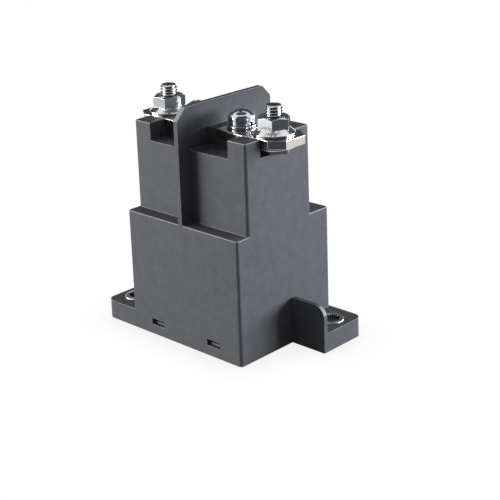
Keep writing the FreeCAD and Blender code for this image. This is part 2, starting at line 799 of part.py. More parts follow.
def magnet_strap():
    """Steel strip bent round the chamber's back, which carries both magnets."""
    body = new_body("magnet_strap")
    inner = "(chamber_x + magnet_thickness)"
    outer = "(chamber_x + magnet_thickness + strap_thickness)"
    tip = "-magnet_length / 2"
    strip = sketch_on(body, "strip_outline", "XY_Plane", "magnet_bottom")
    outline(strip, [
        (f"-{outer}", tip),
        (f"-{inner}", tip),
        (f"-{inner}", "chamber_y"),
        (inner, "chamber_y"),
        (inner, tip),
        (outer, tip),
        (outer, "chamber_y + strap_thickness"),
        (f"-{outer}", "chamber_y + strap_thickness"),
    ])
    pad(body, "strip", strip, "magnet_height")
    place(body, y="axis_y")


def moving_contact():
    """Copper bridge with a round pad under each fixed contact."""
    body = new_body("moving_contact")
    half_x = "screw_x + pad_diameter / 2 + bridge_margin"
    bar = sketch_on(body, "bar_outline", "XY_Plane", "bridge_bottom")
    rounded_rectangle(bar, f"-({half_x})", "-bridge_depth / 2", half_x, "bridge_depth / 2", "chamber_radius")
    pad(body, "bar", bar, "bridge_thickness")
    contacts = sketch_on(body, "pad_outlines", "XY_Plane", "bridge_top")
    for _, side in SIDES:
        circle(contacts, f"{side} * screw_x", "0", "pad_diameter")
    pad(body, "pads", contacts, "pad_height")
    hole = sketch_on(body, "shaft_hole", "XY_Plane", "bridge_top")
    circle(hole, "0", "0", "2 * shaft_bore")
    pocket(body, "shaft_bore", hole, "bridge_thickness")
    place(body, y="axis_y")


def drive_shaft():
    """Shaft with a spring seat below the bridge and a groove for the ring above it."""
    body = new_body("drive_shaft")
    rod = "shaft_diameter / 2"
    turned(body, "shaft", [
        ("0", "shaft_bottom"),
        (rod, "shaft_bottom"),
        (rod, "spring_seat - seat_thickness"),
        ("seat_diameter / 2", "spring_seat - seat_thickness"),
        ("seat_diameter / 2", "spring_seat"),
        (rod, "spring_seat"),
        (rod, "bridge_top"),
        ("ring_groove / 2", "bridge_top"),
        ("ring_groove / 2", "bridge_top + ring_thickness"),
        (rod, "bridge_top + ring_thickness"),
        (rod, "shaft_top"),
        ("0", "shaft_top"),
    ])
    place(body, y="axis_y")


def retaining_ring():
    """Open ring in the shaft's groove that holds the bridge down against its spring."""
    body = new_body("retaining_ring")
    ring = sketch_on(body, "ring_outline", "XY_Plane", "bridge_top")
    circle(ring, "0", "0", "ring_diameter")
    circle(ring, "0", "0", "ring_groove + 2 * plunger_fit")
    pad(body, "ring", ring, "ring_thickness")
    mouth = sketch_on(body, "mouth_outline", "XY_Plane", "bridge_top")
    rectangle(mouth, "-ring_groove / 2", "-ring_diameter", "ring_groove / 2", "0")
    pocket(body, "mouth", mouth, "ring_thickness", back=True)
    place(body, y="axis_y")


def plunger():
    """Iron plunger with a pocket for the return spring and a bore for the shaft."""
    body = new_body("plunger")
    turned(body, "plunger", [
        ("0", "plunger_bottom"),
        ("plunger_radius - sleeve_wall", "plunger_bottom"),
        ("plunger_radius", "plunger_bottom + sleeve_wall"),
        ("plunger_radius", "plunger_top"),
        ("spring_pocket / 2", "plunger_top"),
        ("spring_pocket / 2", "plunger_pocket"),
        ("shaft_diameter / 2 + bush_fit", "plunger_pocket"),
        ("shaft_diameter / 2 + bush_fit", "shaft_bottom"),
        ("0", "shaft_bottom"),
    ])
    place(body, y="axis_y")


def fixed_core():
    """Iron core, hung in the yoke plate by its flange, with the shaft's bore and the spring's pocket."""
    body = new_body("fixed_core")
    turned(body, "core", [
        ("shaft_bore", "core_pocket"),
        ("spring_pocket / 2", "core_pocket"),
        ("spring_pocket / 2", "core_bottom"),
        ("core_diameter / 2", "core_bottom"),
        ("core_diameter / 2", "yoke_plate_top"),
        ("core_flange / 2", "yoke_plate_top"),
        ("core_flange / 2", "core_top"),
        ("shaft_bore", "core_top"),
    ])
    place(body, y="axis_y")


def core_sleeve():
    """Thin closed sleeve round core and plunger, with a flange under the yoke plate."""
    body = new_body("core_sleeve")
    turned(body, "sleeve", [
        ("0", "yoke_floor"),
        ("sleeve_radius", "yoke_floor"),
        ("sleeve_radius", "yoke_top - sleeve_wall"),
        ("sleeve_flange / 2", "yoke_top - sleeve_wall"),
        ("sleeve_flange / 2", "yoke_top"),
        ("sleeve_bore", "yoke_top"),
        ("sleeve_bore", "yoke_floor + sleeve_wall"),
        ("0", "yoke_floor + sleeve_wall"),
    ])
    place(body, y="axis_y")


def yoke_frame():
    """Steel strip bent to a U, with the coil between its legs."""
    body = new_body("yoke_frame")
    strip = sketch_on(body, "strip_outline", "XZ_Plane")
    outline(strip, [
        ("-yoke_x", "yoke_top"),
        ("-yoke_x", "cover_top"),
        ("yoke_x", "cover_top"),
        ("yoke_x", "yoke_top"),
        ("yoke_x - yoke_thickness", "yoke_top"),
        ("yoke_x - yoke_thickness", "yoke_floor"),
        ("yoke_thickness - yoke_x", "yoke_floor"),
        ("yoke_thickness - yoke_x", "yoke_top"),
    ])
    strip_pad = pad(body, "strip", strip, "2 * yoke_y", side="Symmetric")
    rounded(body, "bends", strip_pad, "yoke_bend",
            lambda one, two: level_at(one, two, "cover_top") and same(one.x, two.x))
    place(body, y="axis_y")


def yoke_plate():
    """Steel plate across the legs, bored for the core."""
    body = new_body("yoke_plate")
    plate = sketch_on(body, "plate_outline", "XY_Plane", "yoke_top")
    rectangle(plate, "-yoke_x", "-yoke_y", "yoke_x", "yoke_y")
    circle(plate, "0", "0", "core_diameter + 2 * core_fit")
    pad(body, "plate", plate, "yoke_plate_thickness")
    place(body, y="axis_y")


def coil_bobbin():
    """Moulded bobbin, with a lug behind its upper flange that holds the two coil tabs."""
    body = new_body("coil_bobbin")
    turned(body, "spool", [
        ("bobbin_bore", "yoke_floor"),
        ("flange_radius", "yoke_floor"),
        ("flange_radius", "yoke_floor + bobbin_flange"),
        ("bobbin_tube", "yoke_floor + bobbin_flange"),
        ("bobbin_tube", "bobbin_top - bobbin_flange"),
        ("flange_radius", "bobbin_top - bobbin_flange"),
        ("flange_radius", "bobbin_top"),
        ("bobbin_bore", "bobbin_top"),
    ])
    reach = "tab_y - axis_y + lug_margin"
    lug = sketch_on(body, "lug_outline", "XY_Plane", "bobbin_top")
    rectangle(lug, "-lug_half_width", "flange_radius / 2", "lug_half_width", reach)
    pad(body, "lug", lug, "bobbin_flange", back=True)
    boss = sketch_on(body, "boss_outline", "XY_Plane", "bobbin_top")
    rectangle(boss, "-lug_half_width", "flange_radius + coil_gap", "lug_half_width", reach)
    pad(body, "boss", boss, "boss_depth", back=True)
    slots = sketch_on(body, "tab_outlines", "XY_Plane", "bobbin_top")
    for _, side in SIDES:
        rectangle(slots, f"{side} * tab_x - tab_width / 2", "tab_y - axis_y - tab_thickness / 2",
                  f"{side} * tab_x + tab_width / 2", "tab_y - axis_y + tab_thickness / 2")
    pocket(body, "tab_slots", slots, f"boss_depth + {OVERSHOOT}")
    place(body, y="axis_y")


def coil_winding():
    body = new_body("coil_winding")
    low = "yoke_floor + bobbin_flange + winding_fit"
    high = "bobbin_top - bobbin_flange - winding_fit"
    turned(body, "winding", [
        ("bobbin_tube + winding_fit", low),
        ("flange_radius - coil_margin", low),
        ("flange_radius - coil_margin", high),
        ("bobbin_tube + winding_fit", high),
    ])
    place(body, y="axis_y")


def coil_tab(word, side):
    """Blade tab that stands in the bobbin's boss and comes out through the back ledge."""
    body = new_body(f"coil_tab_{word}")
    half = "tab_width / 2"
    top = "body_height + tab_height"
    blade = sketch_on(body, "blade_outline", "XZ_Plane")
    outline(blade, [
        (f"-{half}", "tab_bottom"),
        (half, "tab_bottom"),
        (half, f"{top} - tab_chamfer"),
        (f"{half} - tab_chamfer", top),
        (f"tab_chamfer - {half}", top),
        (f"-{half}", f"{top} - tab_chamfer"),
    ])
    circle(blade, "0", f"{top} - tab_hole_drop", "tab_hole")
    pad(body, "blade", blade, "tab_thickness", side="Symmetric")
    place(body, f"{side} * tab_x", "tab_y")


def coil_spring(name, low, high):
    """Square wire, wound round the axis from low to high."""
    body = new_body(name)
    wire = f"{name}_wire"
    rise = f"({high} - ({low}) - {wire})"
    section = sketch_on(body, "wire_section", "XZ_Plane")
    rectangle(section, f"{name}_diameter / 2 - {wire} / 2", "0", f"{name}_diameter / 2 + {wire} / 2", wire)
    coil = body.newObject("PartDesign::AdditiveHelix", "coil")
    coil.Profile = section
    coil.ReferenceAxis = (section, ["V_Axis"])
    coil.Mode = "pitch-height-angle"
    tie(coil, "Pitch", f"{rise} / {name}_turns")
    tie(coil, "Height", rise)
    section.Visibility = False
    place(body, y="axis_y", z=low)


def cuts_bite(body):
    """Every pocket and groove of the body has to take something away."""
    before = 0
    for feature in body.Group:
        if feature.TypeId in ("PartDesign::Pocket", "PartDesign::Groove"):
            if feature.Shape.Volume > before - 0.01:
                raise ValueError(f"{feature.Name} cuts nothing")
        if feature.isDerivedFrom("PartDesign::Feature"):
            before = feature.Shape.Volume


housing()
bottom_cover()
arc_chamber()
chamber_collar()
arc_shield()
magnet_strap()
moving_contact()
drive_shaft()
retaining_ring()
plunger()
fixed_core()
core_sleeve()
yoke_frame()
yoke_plate()
coil_bobbin()
coil_winding()
for word, side in SIDES:
    bush(word, side)
    terminal_plate(word, side)
    terminal_stud(word, side)
    flange_nut(word, side, f"nut_turn_{word}")
    flat_washer(word, side)
    spring_washer(word, side)
    terminal_screw(word, side)
    fixed_contact(word, side)
    blowout_magnet(word, side)
    coil_tab(word, side)
coil_spring("contact_spring", "spring_seat", "bridge_bottom")
coil_spring("return_spring", "plunger_pocket", "core_pocket")

document.recompute()
for item in document.Objects:
    if "Invalid" in item.State or "Error" in item.State:
        raise ValueError(f"{item.Name} has failed")
os.makedirs("parts", exist_ok=True)
for part in parts:
    if part.Shape.isNull() or not part.Shape.isValid():
        raise ValueError(f"{part.Label} has no valid shape")
    if part.TypeId == "PartDesign::Body":
        cuts_bite(part)
    part.Shape.exportStep(f"parts/{part.Label}.step")
    print(part.Label, len(part.Shape.Solids), round(part.Shape.Volume, 1))
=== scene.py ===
import math

import bmesh
import bpy
from mathutils import Matrix, Vector


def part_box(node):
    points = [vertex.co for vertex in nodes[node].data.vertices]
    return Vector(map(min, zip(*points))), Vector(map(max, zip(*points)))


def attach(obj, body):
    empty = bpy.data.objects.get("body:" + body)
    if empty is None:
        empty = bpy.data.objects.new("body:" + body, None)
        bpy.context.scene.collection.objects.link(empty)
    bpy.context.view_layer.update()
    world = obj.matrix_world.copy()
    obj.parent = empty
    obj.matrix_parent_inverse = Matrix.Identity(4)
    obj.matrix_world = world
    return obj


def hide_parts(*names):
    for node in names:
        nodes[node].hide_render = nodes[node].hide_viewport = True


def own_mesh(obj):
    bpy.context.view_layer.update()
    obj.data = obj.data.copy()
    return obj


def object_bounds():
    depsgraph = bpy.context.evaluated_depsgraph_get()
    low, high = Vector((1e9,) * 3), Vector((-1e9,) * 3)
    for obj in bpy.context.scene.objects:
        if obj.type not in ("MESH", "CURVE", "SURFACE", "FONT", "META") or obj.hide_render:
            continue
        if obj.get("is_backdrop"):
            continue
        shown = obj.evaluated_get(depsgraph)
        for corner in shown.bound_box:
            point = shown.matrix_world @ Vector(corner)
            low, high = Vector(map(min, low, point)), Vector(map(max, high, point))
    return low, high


# High voltage dc contactor: dark grey moulding, plated terminals, studio light from two sides.

MM = 0.001
SIDES = ("left", "right")

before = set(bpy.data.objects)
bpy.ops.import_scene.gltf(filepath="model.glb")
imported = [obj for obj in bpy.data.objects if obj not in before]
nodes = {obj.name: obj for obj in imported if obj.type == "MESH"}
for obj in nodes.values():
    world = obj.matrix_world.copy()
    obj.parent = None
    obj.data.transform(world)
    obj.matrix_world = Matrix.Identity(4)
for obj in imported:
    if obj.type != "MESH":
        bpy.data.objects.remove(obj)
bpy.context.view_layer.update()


def middle_of(node):
    low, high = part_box(node)
    return (low.x + high.x) / 2, (low.y + high.y) / 2


# Shader nodes

def link(tree, source, output, target, socket):
    tree.links.new(source.outputs[output], target.inputs[socket])


def maths(tree, operation, *values):
    """A math node, whose inputs are numbers or pairs of a node and the name of its output."""
    result = tree.nodes.new("ShaderNodeMath")
    result.operation = operation
    for index, value in enumerate(values):
        if isinstance(value, tuple):
            link(tree, *value, result, index)
        else:
            result.inputs[index].default_value = value
    return result


def map_range(tree, source, output, span, result, smooth=True):
    """The output of source, carried from span to result."""
    carried = tree.nodes.new("ShaderNodeMapRange")
    if smooth:
        carried.interpolation_type = "SMOOTHSTEP"
    for socket, value in zip(("From Min", "From Max", "To Min", "To Max"), (*span, *result)):
        carried.inputs[socket].default_value = value
    link(tree, source, output, carried, "Value")
    return carried


def split_axes(tree, source, output):
    axes = tree.nodes.new("ShaderNodeSeparateXYZ")
    link(tree, source, output, axes, "Vector")
    return axes


def noise(tree, where, scale, detail, stretch):
    """A noise whose grain is scale per metre, drawn out along the axes by stretch."""
    fit = tree.nodes.new("ShaderNodeMapping")
    fit.inputs["Scale"].default_value = stretch
    link(tree, where, "Object", fit, "Vector")
    grain = tree.nodes.new("ShaderNodeTexNoise")
    grain.inputs["Scale"].default_value = scale
    grain.inputs["Detail"].default_value = detail
    link(tree, fit, "Vector", grain, "Vector")
    return grain


def scale_colour(tree, factor, output):
    """Multiply whatever colours the surface by the factor's output."""
    shader = tree.nodes["Principled BSDF"]
    tint = shader.inputs["Base Color"].links[0].from_socket
    scaled = tree.nodes.new("ShaderNodeVectorMath")
    scaled.operation = "SCALE"
    tree.links.new(tint, scaled.inputs[0])
    link(tree, factor, output, scaled, "Scale")
    link(tree, scaled, 0, shader, "Base Color")


# Materials

RIM_WIDTH = 0.42 * MM
RIM_SAMPLES = 6
# How steeply a rim has to look upwards to get the painted highlight, and where it is flat enough to be
# spared.
RIM_RISE = (0.12, 0.4)
RIM_FALL = (0.98, 0.8)


def paint_rim_highlights(tree, radius, gain):
    """Paint a highlight into the colour of the narrow rims that look upwards."""
    edge = tree.nodes.new("ShaderNodeBevel")
    edge.samples = RIM_SAMPLES
    edge.inputs["Radius"].default_value = radius
    axes = split_axes(tree, edge, "Normal")
    rise = map_range(tree, axes, "Z", RIM_RISE, (0, 1))
    fall = map_range(tree, axes, "Z", RIM_FALL, (0, 1))
    both = maths(tree, "MULTIPLY", (rise, "Result"), (fall, "Result"))
    brighter = map_range(tree, both, 0, (0, 1), (1, gain), smooth=False)
    scale_colour(tree, brighter, "Result")


SHELTER_SAMPLES = 8
SHELTER_SPAN = (0.3, 0.8)


def paint_crevice_shade(tree, reach, share):
    """Paint shade into the surface's colour, down to share of it, where other faces lie within reach."""
    shelter = tree.nodes.new("ShaderNodeAmbientOcclusion")
    shelter.samples = SHELTER_SAMPLES
    shelter.inputs["Distance"].default_value = reach
    crevice_shade = map_range(tree, shelter, "AO", SHELTER_SPAN, (share, 1))
    scale_colour(tree, crevice_shade, "Result")


MOTTLE = 0.5
FINE_DETAIL = 2.0
BROAD_DETAIL = 4.0
TINT_STOPS = (0.32, 0.68)
WEAR_SPAN = (0.3, 0.7)


def finish(name, light, dark, rough, rough_spread, blotch, grain, relief, metallic=0.0,
           stretch=(1, 1, 1), specular=0.5, rims=0.0, crevices=None):
    """A surface that wanders between two close colours and two roughnesses, with a fine relief."""
    material = bpy.data.materials.new(name)
    material.use_nodes = True
    tree = material.node_tree
    shader = tree.nodes["Principled BSDF"]
    shader.inputs["Metallic"].default_value = metallic
    shader.inputs["Specular IOR Level"].default_value = specular
    where = tree.nodes.new("ShaderNodeTexCoord")

    fine = noise(tree, where, grain, FINE_DETAIL, stretch)
    broad = noise(tree, where, blotch, BROAD_DETAIL, stretch)
    patches = tree.nodes.new("ShaderNodeMix")
    patches.inputs["Factor"].default_value = MOTTLE
    link(tree, broad, "Fac", patches, "A")
    link(tree, fine, "Fac", patches, "B")
    tint = tree.nodes.new("ShaderNodeValToRGB")
    for stop, place, colour in zip(tint.color_ramp.elements, TINT_STOPS, (dark, light)):
        stop.position = place
        stop.color = (*colour, 1)
    link(tree, patches, "Result", tint, "Fac")
    link(tree, tint, "Color", shader, "Base Color")
    if rims:
        paint_rim_highlights(tree, RIM_WIDTH, rims)
    if crevices:
        paint_crevice_shade(tree, *crevices)

    wear = map_range(tree, patches, "Result", WEAR_SPAN, (rough - rough_spread, rough + rough_spread),
                     smooth=False)
    link(tree, wear, "Result", shader, "Roughness")

    bump = tree.nodes.new("ShaderNodeBump")
    bump.inputs["Strength"].default_value = 1.0
    bump.inputs["Distance"].default_value = relief
    link(tree, fine, "Fac", bump, "Height")
    link(tree, bump, "Normal", shader, "Normal")
    return material


# rims= paints a highlight on the upward rims, crevices= paints shade where other faces lie close.
plastic = finish("housing_plastic", (0.125, 0.130, 0.144), (0.094, 0.097, 0.108), 0.52, 0.05,
                 260, 1500, 0.02 * MM, specular=0.1, rims=3.4)
cover_plastic = finish("cover_plastic", (0.128, 0.132, 0.145), (0.112, 0.116, 0.128), 0.5, 0.05,
                       260, 2600, 0.01 * MM, specular=0.1, rims=3.6, crevices=(0.9 * MM, 0.2))
zinc = finish("zinc_plate", (0.78, 0.80, 0.81), (0.70, 0.72, 0.74), 0.17, 0.04,
              900, 4200, 0.002 * MM, metallic=1.0, crevices=(1.0 * MM, 0.18))
stud_zinc = finish("stud_zinc_plate", (0.80, 0.82, 0.82), (0.70, 0.72, 0.73), 0.16, 0.04,
                   900, 4200, 0.002 * MM, metallic=1.0, crevices=(0.8 * MM, 0.4))
blue_zinc = finish("blue_zinc_plate", (0.76, 0.78, 0.83), (0.62, 0.64, 0.74), 0.14, 0.04,
                   900, 4200, 0.002 * MM, metallic=1.0, crevices=(0.4 * MM, 0.5))
tin = finish("tin_plate", (0.70, 0.675, 0.63), (0.60, 0.575, 0.53), 0.1, 0.03,
             700, 3200, 0.002 * MM, metallic=1.0, stretch=(1, 6, 1), crevices=(0.6 * MM, 0.4))
nickel = finish("nickel_plate", (0.76, 0.77, 0.79), (0.68, 0.69, 0.71), 0.14, 0.04,
                800, 3600, 0.002 * MM, metallic=1.0, crevices=(3.5 * MM, 0.3))
cut_steel = finish("cut_steel", (0.12, 0.11, 0.11), (0.07, 0.065, 0.065), 0.3, 0.06,
                   900, 4200, 0.004 * MM, metallic=1.0)
steel = finish("bare_steel", (0.62, 0.62, 0.63), (0.50, 0.50, 0.51), 0.32, 0.08,
               500, 2600, 0.004 * MM, metallic=1.0)
iron = finish("soft_iron", (0.52, 0.52, 0.53), (0.42, 0.42, 0.43), 0.36, 0.08,
              500, 3000, 0.004 * MM, metallic=1.0, stretch=(1, 1, 8))
copper = finish("copper", (0.86, 0.50, 0.36), (0.72, 0.38, 0.26), 0.28, 0.07,
                500, 2600, 0.004 * MM, metallic=1.0)
enamel = finish("enamelled_wire", (0.55, 0.22, 0.10), (0.42, 0.15, 0.07), 0.34, 0.06,
                400, 1600, 0.05 * MM, metallic=0.6, stretch=(0.05, 0.05, 1))
ceramic = finish("alumina", (0.86, 0.85, 0.82), (0.80, 0.79, 0.75), 0.42, 0.06,
                 300, 2400, 0.006 * MM)
nylon = finish("bobbin_plastic", (0.055, 0.057, 0.062), (0.042, 0.044, 0.048), 0.45, 0.06,
               300, 2600, 0.01 * MM)
resin = finish("shield_plastic", (0.66, 0.60, 0.50), (0.58, 0.52, 0.43), 0.48, 0.06,
               300, 2600, 0.01 * MM)
ferrite = finish("sintered_magnet", (0.055, 0.055, 0.058), (0.036, 0.036, 0.038), 0.55, 0.08,
                 600, 4200, 0.01 * MM, metallic=0.3)

NODE_FINISHES = {
    "housing": plastic,
    "bottom_cover": cover_plastic,
    "arc_chamber": ceramic,
    "chamber_collar": nickel,
    "arc_shield": resin,
    "magnet_strap": steel,
    "moving_contact": copper,
    "drive_shaft": steel,
    "retaining_ring": steel,
    "plunger": iron,
    "fixed_core": iron,
    "core_sleeve": steel,
    "yoke_frame": zinc,
    "yoke_plate": zinc,
    "coil_bobbin": nylon,
    "coil_winding": enamel,
    "contact_spring": steel,
    "return_spring": steel,
}
SIDED_FINISHES = {
    "mounting_bush": nickel,
    "terminal_plate": tin,
    "terminal_stud": zinc,
    "flange_nut": zinc,
    "flat_washer": blue_zinc,
    "spring_washer": blue_zinc,
    "terminal_screw": blue_zinc,
    "fixed_contact": copper,
    "blowout_magnet": ferrite,
    "coil_tab": tin,
}
for name, material in SIDED_FINISHES.items():
    for side in SIDES:
        NODE_FINISHES[f"{name}_{side}"] = material


STUD_AXIS = middle_of("terminal_stud_right")
GROOVE_ROOT = 2.45 * MM
GROOVE_CREST = 2.85 * MM
GROOVE_SHARE = 0.5


def paint_groove_shade(material, root, crest, share):
    """Paint shade into the plating towards the foot of the thread, by the distance from either stud's
    axis.
    """
    tree = material.node_tree
    where = tree.nodes.new("ShaderNodeTexCoord")
    axes = split_axes(tree, where, "Object")
    squares = []
    for axis, middle in zip("XY", STUD_AXIS):
        side = maths(tree, "ABSOLUTE", (axes, axis))
        away = maths(tree, "SUBTRACT", (side, 0), abs(middle))
        squares.append((maths(tree, "POWER", (away, 0), 2), 0))
    total = maths(tree, "ADD", *squares)
    reach = maths(tree, "SQRT", (total, 0))
    shade = map_range(tree, reach, 0, (root, crest), (share, 1))
    scale_colour(tree, shade, "Result")


paint_groove_shade(stud_zinc, GROOVE_ROOT, GROOVE_CREST, GROOVE_SHARE)


def dress(piece, material):
    piece.data.materials.clear()
    piece.data.materials.append(material)


for name, material in NODE_FINISHES.items():
    dress(nodes[name], material)


# Softened edges of the carried-over nodes

WELD_WITHIN = 0.001 * MM
FLAT_WITHIN = math.radians(0.4)
SHARP_FROM = math.radians(28)
EDGE_SEGMENTS = 3
EDGE_WIDTHS = {
    "housing": 0.16 * MM,
    "bottom_cover": 0.12 * MM,
    "terminal_plate": 0.24 * MM,
    "flange_nut": 0.14 * MM,
    "flat_washer": 0.26 * MM,
    "spring_washer": 0.26 * MM,
}
PLAIN_EDGE = 0.08 * MM


def soften(piece, node):
    """Round every edge of a piece by the width for its node, with its flat faces kept flat."""
    piece.data.shade_smooth()
    weld = piece.modifiers.new("weld", "WELD")
    weld.merge_threshold = WELD_WITHIN
    flatten = piece.modifiers.new("flatten", "DECIMATE")
    flatten.decimate_type = "DISSOLVE"
    flatten.angle_limit = FLAT_WITHIN
    bevel = piece.modifiers.new("bevel", "BEVEL")
    bevel.width = next((width for stem, width in EDGE_WIDTHS.items() if node.startswith(stem)), PLAIN_EDGE)
    bevel.segments = EDGE_SEGMENTS
    bevel.limit_method = "ANGLE"
    bevel.angle_limit = SHARP_FROM
    bevel.use_clamp_overlap = True
    normals = piece.modifiers.new("normals", "WEIGHTED_NORMAL")
    normals.keep_sharp = True


REPLACED = ("bottom_cover", "contact_spring", "return_spring", "terminal_stud_left", "terminal_stud_right",
            "terminal_screw_left", "terminal_screw_right", "mounting_bush_left", "mounting_bush_right")
for name, node in nodes.items():
    if name not in REPLACED:
        soften(node, name)


# Building blocks of the scene's own pieces

COLUMNS = 72
# One pitch of an outside thread: share of the pitch, share of the thread's depth.
THREAD = ((0.0, 0.08), (0.0625, 0.0), (0.125, 0.08), (0.42, 0.92), (0.5625, 1.0), (0.705, 0.92))
THREAD_DEPTH = 0.61
# Turns beyond the rod's length, which the clamping at both ends takes up.
SPARE_TURNS = 3
MERGE_WITHIN = 0.0005 * MM


def on_ring(middle, radius, angle, height):
    return (middle[0] + radius * math.cos(angle), middle[1] + radius * math.sin(angle), height)


def add_thread(bm, middle, low, high, radius, pitch, tip):
    """A threaded rod: lines of points that climb one pitch a turn, held between low and high."""
    rows = len(THREAD)
    turns = math.ceil((high - low) / pitch) + SPARE_TURNS
    lines = []
    for column in range(COLUMNS):
        around = column / COLUMNS
        line = []
        for index in range(turns * rows):
            share, bite = THREAD[index % rows]
            height = low + (around - 1 + index // rows + share) * pitch
            height = min(max(height, low), high)
            depth = radius - bite * THREAD_DEPTH * pitch
            reach = min(depth, radius - tip + high - height, radius - tip + height - low)
            line.append(bm.verts.new(on_ring(middle, reach, 2 * math.pi * around, height)))
        lines.append(line)
    for column in range(COLUMNS):
        last = column == COLUMNS - 1
        here = lines[column]
        beside = lines[0][rows:] if last else lines[column + 1]
        for index in range(min(len(here), len(beside)) - 1):
            bm.faces.new((here[index], beside[index], beside[index + 1], here[index + 1]))
    bmesh.ops.remove_doubles(bm, verts=bm.verts, dist=MERGE_WITHIN)
    bmesh.ops.dissolve_degenerate(bm, edges=bm.edges, dist=MERGE_WITHIN)
    rims = [edge for edge in bm.edges if edge.is_boundary]
    bmesh.ops.holes_fill(bm, edges=rims, sides=0)


def turned_rings(bm, middle, profile):
    return [[bm.verts.new(on_ring(middle, radius, 2 * math.pi * column / COLUMNS, height))
             for column in range(COLUMNS)] for radius, height in profile]


def add_lathe(bm, middle, profile):
    """A solid turned from profile, a list of (radius, height) that starts and ends on the axis."""
    start = bm.verts.new((middle[0], middle[1], profile[0][1]))
    end = bm.verts.new((middle[0], middle[1], profile[-1][1]))
    rings = turned_rings(bm, middle, profile[1:-1])
    for column in range(COLUMNS):
        after = (column + 1) % COLUMNS
        bm.faces.new((start, rings[0][after], rings[0][column]))
        bm.faces.new((end, rings[-1][column], rings[-1][after]))
        for below, above in zip(rings, rings[1:]):
            bm.faces.new((below[column], below[after], above[after], above[column]))


def add_ring(bm, middle, profile):
    """A ring turned from profile, a closed line of (radius, height)."""
    rings = turned_rings(bm, middle, profile)
    for below, above in zip(rings, rings[1:] + rings[:1]):
        for column in range(COLUMNS):
            after = (column + 1) % COLUMNS
            bm.faces.new((below[column], below[after], above[after], above[column]))


def add_loft(bm, lower, upper):
    """A closed solid between two outlines with the same number of points."""
    floor = [bm.verts.new(point) for point in lower]
    roof = [bm.verts.new(point) for point in upper]
    bm.faces.new(list(reversed(floor)))
    bm.faces.new(roof)
    for index in range(len(floor)):
        after = (index + 1) % len(floor)
        bm.faces.new((floor[index], floor[after], roof[after], roof[index]))


def shade_round(mesh, sharp):
    mesh.shade_smooth()
    mesh.set_sharp_from_angle(angle=math.radians(sharp))


def to_piece(bm, name, sharp):
    """A piece of the mesh, shaded round where faces meet at less than sharp degrees."""
    bmesh.ops.recalc_face_normals(bm, faces=bm.faces)
    mesh = bpy.data.meshes.new(name)
    bm.to_mesh(mesh)
    bm.free()
    shade_round(mesh, sharp)
    piece = bpy.data.objects.new(name, mesh)
    bpy.context.scene.collection.objects.link(piece)
    return piece


def stand_for(piece, node, body):
    """Let the piece take the node's place and its body."""
    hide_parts(node)
    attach(piece, body)


# Threaded studs

STUD_PITCH = 1.0 * MM
STUD_RADIUS = 3.0 * MM
STUD_TIP = 0.62 * MM
STUD_HEAD = 1.2 * MM
STUD_HEAD_RADIUS = 7.0 * MM
STUD_HEAD_EDGE = 0.22 * MM
# How far into the rounding of the head's edge its middle point lies.
EDGE_SAG = 0.3
STUD_HEX_FLATS = 10.0 * MM
TURNED_SHARP = 38
# The cut end of the stud: faces that look up this much, this near to its top.
CUT_FACING = 0.9
CUT_WITHIN = 0.05 * MM


def make_stud(side):
    """M6 stud: its thread from the plate up, its round head under the plate and a low hexagon below."""
    node = f"terminal_stud_{side}"
    low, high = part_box(node)
    middle = middle_of(node)
    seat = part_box(f"terminal_plate_{side}")[0].z
    under = seat - STUD_HEAD
    bm = bmesh.new()
    add_thread(bm, middle, seat - STUD_HEAD / 2, high.z, STUD_RADIUS, STUD_PITCH, STUD_TIP)
    head, edge = STUD_HEAD_RADIUS, STUD_HEAD_EDGE
    sag = EDGE_SAG * edge
    add_lathe(bm, middle, [
        (0, under), (head - edge, under), (head - sag, under + sag), (head, under + edge),
        (head, seat - edge), (head - sag, seat - sag), (head - edge, seat), (0, seat),
    ])
    reach = STUD_HEX_FLATS / 2 / math.cos(math.radians(30))
    outlines = [[on_ring(middle, reach, math.radians(60 * corner), height) for corner in range(6)]
                for height in (low.z, under)]
    add_loft(bm, *outlines)
    piece = to_piece(bm, f"threaded_stud_{side}", TURNED_SHARP)
    dress(piece, stud_zinc)
    piece.data.materials.append(cut_steel)
    for face in piece.data.polygons:
        if face.normal.z > CUT_FACING and face.center.z > high.z - CUT_WITHIN:
            face.material_index = 1
    stand_for(piece, node, "base")


# Cross recessed screws

# The exponent of the head's outline: 2 is an ellipse, more is squarer.
HEAD_CURVE = 2.05
HEAD_STEPS = 14
HEAD_SIDE = 0.9 * MM
HEAD_EDGE = 0.25 * MM
SHANK_RADIUS = 2.5 * MM
SHANK_EDGE = 0.5 * MM
SCREW_SHARP = 40
RECESS_SPAN = 5.405 * MM
RECESS_ARM = 1.375 * MM
RECESS_FOOT_SPAN = 2.2 * MM
RECESS_FOOT_ARM = 0.875 * MM
RECESS_DEPTH = 2.2 * MM
RECESS_RISE = 0.3 * MM
RECESS_SHARP = 30
SCREW_TURNS = {"left": math.radians(20), "right": math.radians(35)}


def cross_corners(middle, span, arm, turn, height):
    """The twelve corners of a cross, turned by turn."""
    half, side = span / 2, arm / 2
    corners = []
    for quarter in range(4):
        angle = turn + quarter * math.pi / 2
        for x, y in ((half, -side), (half, side), (side, side)):
            corners.append((middle[0] + x * math.cos(angle) - y * math.sin(angle),
                            middle[1] + x * math.sin(angle) + y * math.cos(angle), height))
    return corners


